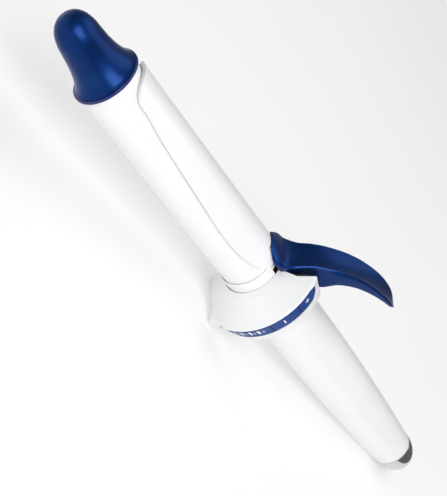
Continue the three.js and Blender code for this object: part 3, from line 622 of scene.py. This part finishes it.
def lever_section(top, under, half, dish, on_blade):
    """One closed section across the lever: a hollowed thumb face, a ridge, flanks and an underside."""
    height = np.linalg.norm(top - under)
    upward = (top - under) / height
    edge = min(LEVER_EDGE, LEVER_EDGE_SHARE * height)
    section = []
    for v in np.linspace(-1, 1, 25):
        rim = max(0.0, (abs(v) - LEVER_RIDGE) / (1 - LEVER_RIDGE))
        x, z = top + upward * (dish * (v * v - LEVER_CROWN) - edge * rim ** LEVER_EDGE_POWER)
        y = half * v * (1 - LEVER_RIM_INSET * rim)
        least = lever_underside(under, y, on_blade) + LEVER_LEAST_THICKNESS * on_blade
        section.append((x, y, max(z, least)))
    near, far = section[0], section[-1]
    section += lever_flank(far, under, on_blade, (0.25, 0.5, 0.75))
    for v in np.linspace(0.88, -0.88, 17):
        section.append((under[0], half * v, lever_underside(under, half * v, on_blade)))
    return section + lever_flank(near, under, on_blade, (0.75, 0.5, 0.25))


def thumb_lever():
    top = smooth_line(LEVER_TOP, LEVER_STEPS)
    under = smooth_line(LEVER_UNDER, LEVER_STEPS)
    steps = range(len(LEVER_TOP))
    half = smooth_line(list(zip(steps, LEVER_HALF_WIDTHS)), LEVER_STEPS)[:, 1]
    dish = smooth_line(list(zip(steps, LEVER_DISH)), LEVER_STEPS)[:, 1]
    lifting = (LEVER_LIFTS_AT - np.maximum(top[:, 0], under[:, 0])) / LEVER_LIFT_LENGTH
    on_blade = np.clip(lifting, 0.0, 1.0)
    points = np.array([lever_section(*row) for row in zip(top, under, half, dish, on_blade)])
    lever = mesh_object("thumb_lever_skin", points, capped_faces(*points.shape[:2]), 60)
    x, z = HINGE[0], HINGE[2]
    ears = bar("ears", [x, -EAR_OUTER_Y, z], [x, EAR_OUTER_Y, z], EAR_R, 64)
    boolean(lever, ears, "UNION", SOFT_SHARP)
    pocket = bar("pocket", [x, -EAR_INNER_Y, z], [x, EAR_INNER_Y, z], EAR_R + EAR_POCKET_MARGIN, 64)
    boolean(lever, pocket, sharp=SOFT_SHARP)
    hole = bar("hole", [x, -SLOT_HALF, z], [x, SLOT_HALF, z], PIN_HOLE_R, 32)
    boolean(lever, hole, sharp=SOFT_SHARP)
    finished(lever, "blue_pearl", "clamp", "thumb_lever")


def hinge_spring():
    """The torsion spring: a coil round the pin whose leg rests behind it on the barrel's mount."""
    x, z = HINGE[0], HINGE[2]
    path = []
    count = SPRING_TURNS * SPRING_STEPS
    for step in range(count + 1):
        angle = -math.pi / 2 + 2 * math.pi * SPRING_TURNS * step / count
        along = -SPRING_HALF + 2 * SPRING_HALF * step / count
        path.append([x + SPRING_COIL_R * math.cos(angle), along, z + SPRING_COIL_R * math.sin(angle)])
    path += [[x + leg, SPRING_LEG_Y, z - SPRING_COIL_R] for leg in SPRING_LEG]
    path = np.array(path)
    ways = np.gradient(path, axis=0)
    ways /= np.linalg.norm(ways, axis=1)[:, None]
    first = np.cross(ways, [0.0, 1.0, 0.0])
    first /= np.linalg.norm(first, axis=1)[:, None]
    second = np.cross(ways, first)
    angles = np.linspace(0, 2 * np.pi, 12, endpoint=False)[None, :, None]
    rim = np.cos(angles) * first[:, None] + np.sin(angles) * second[:, None]
    rings = path[:, None] + SPRING_WIRE_R * rim
    coil = mesh_object("hinge_coil", rings, capped_faces(*rings.shape[:2]))
    finished(coil, "steel", "body", "hinge_spring")


def hinge_pin():
    x, z = HINGE[0], HINGE[2]
    pin = soften(bar("hinge_pin_bar", [x, -PIN_HALF, z], [x, PIN_HALF, z], PIN_R), 0.25)
    finished(pin, "steel", "body", "hinge_pin")


# ---------------------------------------------------------------- collar
def slot_azimuths(half_width, stops):
    """For each radius, azimuths that start and end on the slot's flat walls and pass through the stops."""
    def for_radius(radius):
        near, far = np.atleast_1d(radius)[[0, -1]]
        start = math.degrees(math.asin(half_width / near))
        end = 360 - math.degrees(math.asin(half_width / far))
        marks = [start, *stops, end]
        steps = [max(6, round((high - low) / 2)) for low, high in zip([20, *stops], [*stops, 340])]
        parts = [np.linspace(low, high, step, endpoint=False)
                 for low, high, step in zip(marks, marks[1:], steps)]
        return np.concatenate([*parts, [end]])
    return for_radius


LEAN_LIMITS = [[-180, 21.7], [-165, 21.6], [-150, 21.4], [-130, 21], [-100, 20.6], [-75, 20.2], [-60, 19.4],
               [-50, 19.1], [-40, 19.2], [-30, 20.1], [-22, 21.8], [-10, 26], [5, 32], [30, 34], [70, 34],
               [105, 34], [120, 32], [130, 27.5], [138, 24.2], [147, 23.1], [158, 22.4], [170, 22],
               [180, 21.7]]
lean_limit = smooth_value(LEAN_LIMITS)


def signed_azimuth(azimuth):
    return (np.asarray(azimuth, float) + 180) % 360 - 180


def leaned(x, azimuth, radius, inset=0.0):
    """The bell's radius. Away from the keys its face leans back, so there it grows slowly along the axis."""
    limit = np.vectorize(lean_limit)(signed_azimuth(azimuth)) + LEAN_SLOPE * x - inset
    nearness = np.maximum(0, LEAN_BLEND - np.abs(radius - limit))
    return np.minimum(radius, limit) - nearness ** 2 / (4 * LEAN_BLEND)


def foot_bulge(x, azimuth):
    """How far the two feet stand out of the bell."""
    length = FOOT_FRONT_LENGTH if x < FOOT_X else FOOT_REAR_LENGTH
    along = max(0.0, 1 - (abs(x - FOOT_X) / length) ** FOOT_ALONG_POWER)
    past = np.abs(signed_azimuth(azimuth)) - FOOT_AZIMUTH
    across = np.maximum(0, 1 - np.where(past > 0, past / FOOT_INNER_SPREAD, -past / FOOT_OUTER_SPREAD))
    return FOOT_BULGE * along * across ** FOOT_ACROSS_POWER


def stand_on_table(piece):
    """Nothing of a piece goes below the table: what would is flattened onto it."""
    for vertex in piece.data.vertices:
        vertex.co.z = max(vertex.co.z, 0.0)


def band_surface(x, azimuth):
    share = (x - BAND_FRONT) / (BAND_BACK - BAND_FRONT)
    return float(leaned(x, azimuth, BAND_FRONT_R + share * (BAND_BACK_R - BAND_FRONT_R)))


def band_piece(name, start, end, margin, inner_r, raise_by):
    """A stretch of the key band. The band's two outer ends close to a rounded point."""
    full = BAND_BACK - BAND_FRONT

    def place(u, v, w):
        azimuth = start + u * (end - start)
        from_start = (azimuth - BAND_START + BAND_TIP) / BAND_START_CLOSING
        from_end = (BAND_END - azimuth + BAND_TIP) / BAND_END_CLOSING
        close_start = min(1.0, max(BAND_LEAST_SHARE, from_start))
        close_end = min(1.0, max(BAND_LEAST_SHARE, from_end))
        width = full * math.sqrt(close_start * close_end)
        front = BAND_FRONT + (full - width) * BAND_FRONT_SHARE
        x = front - margin + v * (width + 2 * margin)
        radius = inner_r + w * (band_surface(x, azimuth) + raise_by - inner_r)
        return polar(x, azimuth, radius)

    return boxed(name, (max(12, round((end - start) * 1.2)), 6, 1), place)


def collar_outline():
    """The collar's closed outline, and how many of its first points are the outer face."""
    flare = smooth_line([[0.25, 14.6], [1.4, 17.2], [2.8, 19.6], [4.8, 22.8], [6.8, 26.0], [7.9, 27.9]], 6)
    rim = rounded([[7.9, 27.9], [8.6, 28.85], [BAND_FRONT + 0.4, 28.72], [BAND_BACK, BAND_BACK_R],
                   [18.9, 25.95], [COLLAR_BACK, 25.3], [COLLAR_BACK, COLLAR_BACK_BORE_R]],
                  [0.5, 0.4, 0.5, 0.9, 1.4], 6)
    beside_band = [[9.6, 28.65], [10.8, 28.26], [12.1, 27.84], [13.4, 27.45], [15.2, 26.94]]
    face = np.vstack([flare, rim[rim[:, 0] <= 9.55][1:], beside_band, rim[rim[:, 0] > 15.3]])
    inner = [[17.2, COLLAR_BACK_BORE_R], [17.2, 24.3], [10, 25.9], [8.4, 25.0], [5.6, 20.9], [2.4, 16.0],
             [1.2, COLLAR_BORE_R], [0.0, COLLAR_BORE_R], [0.0, 14.4]]
    return np.vstack([face, inner]), len(face)


def collar():
    outline, face_count = collar_outline()

    def moved(i, x, radius, azimuths):
        if radius <= COLLAR_BORE_R + 0.3:
            return np.full(len(azimuths), radius)
        if i >= face_count:
            return leaned(x, azimuths, radius, COLLAR_WALL)
        return leaned(x, azimuths, radius) + foot_bulge(x, azimuths)

    # On the keys' side, within 21.9 mm of the axis, the slot's wall lies past BAND_START, so the skin folds
    # back into the slot there. report.md names this fault.
    stops = [BAND_START, 100, FOOT_AZIMUTH, 180, 360 - FOOT_AZIMUTH, 300]
    shell = slotted("collar", outline, slot_azimuths(SLOT_HALF, stops), moved)
    stand_on_table(shell)
    start, end = BAND_START - BAND_TIP, BAND_END + BAND_TIP
    boolean(shell, band_piece("opening", start, end, OPENING_MARGIN, OPENING_DEPTH_R, OPENING_RAISE))
    soften(shell, 0.28, 3, 50)
    finished(shell, "white_gloss", "body", "collar_shell")


def collar_rear():
    cover = rounded([[COVER_BACK, 14.9], [COVER_BACK, COVER_R], [COVER_FRONT, COVER_R],
                     [COVER_FRONT, COVER_BORE_R], [COVER_BACK, COVER_BORE_R], [COVER_BACK, 14.7]],
                    [0.4, 0.2, 0.2, 0.3])
    rear = slotted("collar_rear_cover", cover, slot_azimuths(SLOT_HALF, [90, 180, 270]))
    finished(rear, "white_gloss", "body", "collar_back")


def base_ring():
    line = rounded([[-2.0, RING_R], [RING_BACK, RING_R], [RING_BACK, 12.3], [-1.7, 12.3], [-1.7, 13.55],
                    [RING_FRONT, 13.55], [RING_FRONT, RING_R], [-2.1, RING_R]],
                   [0.15, 0.05, 0.05, 0.05, 0.05, 0.25])
    base = slotted("base_ring", line, slot_azimuths(RING_NOTCH_HALF, [90, 180, 270]))
    finished(base, "white_gloss", "body", "barrel_base_ring")


def key_band():
    stretches = {
        "plus_key_cap": (BAND_START + KEY_FIRST, PLUS_END - KEY_GAP, "plus_key", "plus_button"),
        "minus_key_cap": (PLUS_END + KEY_GAP, MINUS_END - KEY_GAP, "minus_key", "minus_button"),
        "scale_band": (MINUS_END + KEY_GAP, BAND_END - 0.1, "body", "scale_panel"),
    }
    for name, (start, end, body, node) in stretches.items():
        margin = 0.0 if body == "body" else -KEY_CLEARANCE
        strip = band_piece(name, start, end, margin, BAND_DEPTH_R, -BAND_SUNK)
        if node == "scale_panel":
            for azimuth in WINDOW_AZIMUTHS:
                boolean(strip, window(f"hole_{azimuth:.0f}", azimuth, WINDOW_MARGIN, 20, 32))
        soften(strip, 0.14, 2, 50)
        finished(strip, "blue_key", body, node)
    for i, azimuth in enumerate(WINDOW_AZIMUTHS):
        lens = soften(window(f"light_window_{i + 1}", azimuth, 0, WINDOW_DEPTH_R, None), 0.1, 2, 50)
        finished(lens, "white_lens", "body", f"scale_window_{i + 1}")
    mark("plus_mark", *PLUS_MARK, PLUS_STROKES, "plus_key")
    mark("minus_mark", *MINUS_MARK, MINUS_STROKES, "minus_key")
    for i, (azimuth, number) in enumerate(SCALE_NUMBERS):
        number_mark(f"scale_number_{i + 1}", azimuth, NUMBER_X, number)


def window(name, azimuth, margin, low, high):
    """A light window: a small upright block with rounded ends, flush with the band unless high is given."""
    half_angle = WINDOW_HALF_ANGLE + math.degrees(margin / 27)

    def place(u, v, w):
        end_share = math.sqrt(max(0.0, 1 - (2 * abs(v - 0.5)) ** WINDOW_END_POWER))
        x = WINDOW_X + (2 * v - 1) * (WINDOW_HALF_LENGTH + margin)
        spread = half_angle * (WINDOW_END_SHARE + (1 - WINDOW_END_SHARE) * end_share)
        at = azimuth + (2 * u - 1) * spread
        top = high if high is not None else band_surface(x, at) - WINDOW_SUNK
        return polar(x, at, low + w * (top - low))

    return boxed(name, (4, 10, 1), place)


def mark(name, azimuth, x, strokes, body):
    """A printed sign: thin strokes lying on the band, each a length along the axis and a width across it."""
    points, faces = [], []
    for length, width in strokes:
        spread = math.degrees(width / BAND_BACK_R) / 2

        def place(u, v, w):
            at = x + (u - 0.5) * length
            around = azimuth + (2 * v - 1) * spread
            return polar(at, around, band_surface(at, around) - PRINT_DEPTH + w * PRINT_HEIGHT)

        cells, quads = box_cells((1, PRINT_COLUMNS, 1), place)
        faces += [[len(points) + i for i in quad] for quad in quads]
        points += cells
    finished(mesh_object(name, points, faces), "white_lens", body, look=WHITE_MARK)


def number_mark(name, azimuth, x, text):
    """A small number of the scale, bent onto the band and read along the axis."""
    curve = bpy.data.curves.new(name, "FONT")
    curve.body = text
    curve.size = NUMBER_SIZE
    curve.align_x = "CENTER"
    curve.align_y = "CENTER"
    curve.extrude = NUMBER_THICKNESS
    curve.resolution_u = 4
    holder = bpy.data.objects.new(name + "_text", curve)
    bpy.context.scene.collection.objects.link(holder)
    graph = bpy.context.evaluated_depsgraph_get()
    flat = bpy.data.meshes.new_from_object(holder.evaluated_get(graph))
    points = []
    for vertex in flat.vertices:
        along, across, lift = vertex.co
        at = x + along
        around = azimuth - math.degrees(across / BAND_BACK_R)
        points.append(polar(at, around, band_surface(at, around) - BAND_SUNK + lift))
    faces = [list(face.vertices) for face in flat.polygons]
    bpy.data.objects.remove(holder)
    sign = mesh_object(name, points, faces)
    finished(sign, "white_lens", "body", look=WHITE_MARK)


# ---------------------------------------------------------------- handle and its end
def handle_radius(x):
    along = (x - HANDLE_BELLY_X) / HANDLE_TAPER_LENGTH
    return HANDLE_BELLY_R - HANDLE_TAPER_LINEAR * along - HANDLE_TAPER_SQUARE * along ** 2


def handle():
    stops = np.linspace(HANDLE_FRONT + 0.4, HANDLE_BACK - 0.25, 48)
    outer = [[x, handle_radius(x)] for x in stops]
    back = rounded([outer[-1], [HANDLE_BACK, handle_radius(HANDLE_BACK)],
                    [HANDLE_BACK, handle_radius(HANDLE_BACK) - HANDLE_WALL]], [0.2])
    inner = [[x, handle_radius(x) - HANDLE_WALL] for x in stops[::-4]]
    front_r = handle_radius(HANDLE_FRONT)
    front = [[HANDLE_FRONT, front_r - HANDLE_WALL], [HANDLE_FRONT, front_r - 0.4]]
    grip = turned("handle", np.vstack([outer, back[1:], inner, front]))
    finished(grip, "white_gloss", "body", "handle_sleeve")


def handle_end():
    widest = math.acos(END_MOUTH_R / END_R)
    dome = [[END_REST_X + (END_MOUTH_X - END_REST_X) * math.sin(a) / math.sin(widest), END_R * math.cos(a)]
            for a in np.linspace(0, widest, 28)]
    shell = np.vstack([
        [[END_FRONT, SPIGOT_R], [END_FRONT, END_R - 0.25], [END_FRONT + 0.08, END_R - 0.08]],
        [[END_FRONT + 0.3, END_R]],
        dome[:-1],
        [[END_MOUTH_X - 0.15, END_MOUTH_R + 0.25], [END_MOUTH_X - 0.2, END_MOUTH_R]],
        [[SWIVEL_SEAT_X, END_MOUTH_R], [SWIVEL_SEAT_X, SPIGOT_BORE_R]],
        [[SPIGOT_FRONT, SPIGOT_BORE_R], [SPIGOT_FRONT, SPIGOT_R]],
    ])
    finished(turned("end_dome", shell), "bright_metal", "body", "end_cap")


def cord_bush():
    mouth = END_MOUTH_X + BUSH_PROUD
    neck_r = END_MOUTH_R - 0.3
    bush = rounded([[160.0, BUSH_R], [BUSH_STEP_X, BUSH_R], [BUSH_STEP_X, neck_r], [mouth, neck_r],
                    [mouth, CORD_BORE_R], [BUSH_FRONT, CORD_BORE_R], [BUSH_FRONT, BUSH_R], [159.9, BUSH_R]],
                   [0.2, 0.1, 0.35, 0.5, 0.2, 0.2])
    finished(turned("cord_bush", bush, 96), "black_plastic", "swivel", "cord_swivel")


# ---------------------------------------------------------------- camera, floor and light
VIEW_STANDPOINT = (-419.4, -431.2, 206.6)
VIEW_RIGHT = (0.4719, -0.0062, 0.8816)
VIEW_BACK = (-0.6417, -0.6882, 0.3386)
VIEW_LENS = 103.28
FLOOR_HALF, FLOOR_GLOW = 3.0, 0.36
ROOM_NEAR, ROOM_FAR = (0.3, 0.3), (0.9, 0.14)


def turned_to_frame(direction):
    x, y, z = direction
    return (AXIS * x + SIDE * y + UP * z).normalized()


def camera():
    """The camera looks past the cool tip to the handle, rolled so that the iron lies corner to corner."""
    data = bpy.data.cameras.new("camera")
    data.lens = VIEW_LENS
    data.clip_start, data.clip_end = 0.05, 20.0
    holder = bpy.data.objects.new("camera", data)
    bpy.context.scene.collection.objects.link(holder)
    right, back = turned_to_frame(VIEW_RIGHT), turned_to_frame(VIEW_BACK)
    up = back.cross(right).normalized()
    right = up.cross(back).normalized()
    place = Matrix((right, up, back)).transposed().to_4x4()
    place.translation = Vector(to_frame([VIEW_STANDPOINT])[0])
    holder.matrix_world = place
    bpy.context.scene.camera = holder


def floor():
    mesh = bpy.data.meshes.new("floor")
    corners = [(-1, -1, 0), (1, -1, 0), (1, 1, 0), (-1, 1, 0)]
    mesh.from_pydata([Vector(corner) * FLOOR_HALF for corner in corners], [], [(0, 1, 2, 3)])
    plane = bpy.data.objects.new("floor", mesh)
    bpy.context.scene.collection.objects.link(plane)
    look = Look("pale_floor")
    greys = [(NOISE_LOW, (0.6, 0.6, 0.605)), (NOISE_HIGH, (0.62, 0.62, 0.625))]
    look.paint(look.ramp(look.noise(3, 2), greys))
    look.rough(look.noise(8, 2), 0.7, 0.8)
    look.set(Emission_Color=(1, 1, 1, 1), Emission_Strength=FLOOR_GLOW)
    mesh.materials.append(look.material)


def area_light(name, place, target, size, power):
    data = bpy.data.lights.new(name, "AREA")
    data.shape = "RECTANGLE"
    data.size, data.size_y = size
    data.energy = power
    holder = bpy.data.objects.new(name, data)
    bpy.context.scene.collection.objects.link(holder)
    holder.location = place
    way = Vector(target) - Vector(place)
    holder.rotation_euler = way.to_track_quat("-Z", "Y").to_euler()


def studio():
    """A pale room, darker beyond the handle, with a large soft light beside the camera and one overhead."""
    world = bpy.data.worlds.new("studio")
    bpy.context.scene.world = world
    world.use_nodes = True
    nodes, links = world.node_tree.nodes, world.node_tree.links
    way = nodes.new("ShaderNodeSeparateXYZ")
    links.new(nodes.new("ShaderNodeTexCoord").outputs["Generated"], way.inputs["Vector"])
    dim = nodes.new("ShaderNodeMapRange")
    dim.interpolation_type = "SMOOTHSTEP"
    dim.inputs["From Min"].default_value, dim.inputs["To Min"].default_value = ROOM_NEAR
    dim.inputs["From Max"].default_value, dim.inputs["To Max"].default_value = ROOM_FAR
    links.new(way.outputs["X"], dim.inputs["Value"])
    background = nodes["Background"]
    background.inputs["Color"].default_value = (1, 1, 1, 1)
    links.new(dim.outputs["Result"], background.inputs["Strength"])
    area_light("beside_camera", (-0.4, -1.05, 0.95), (0, 0, 0.03), (1.0, 0.9), 16)
    area_light("overhead", (0.3, 0.3, 1.4), (0, 0, 0), (1.6, 1.2), 8)
    bpy.context.scene.view_settings.view_transform = "Standard"


# ---------------------------------------------------------------- the scene
camera()
dress_cad_nodes()
barrel()
cool_tip()
clamp_blade()
thumb_lever()
hinge_spring()
hinge_pin()
collar()
collar_rear()
base_ring()
key_band()
handle()
handle_end()
cord_bush()
floor()
studio()
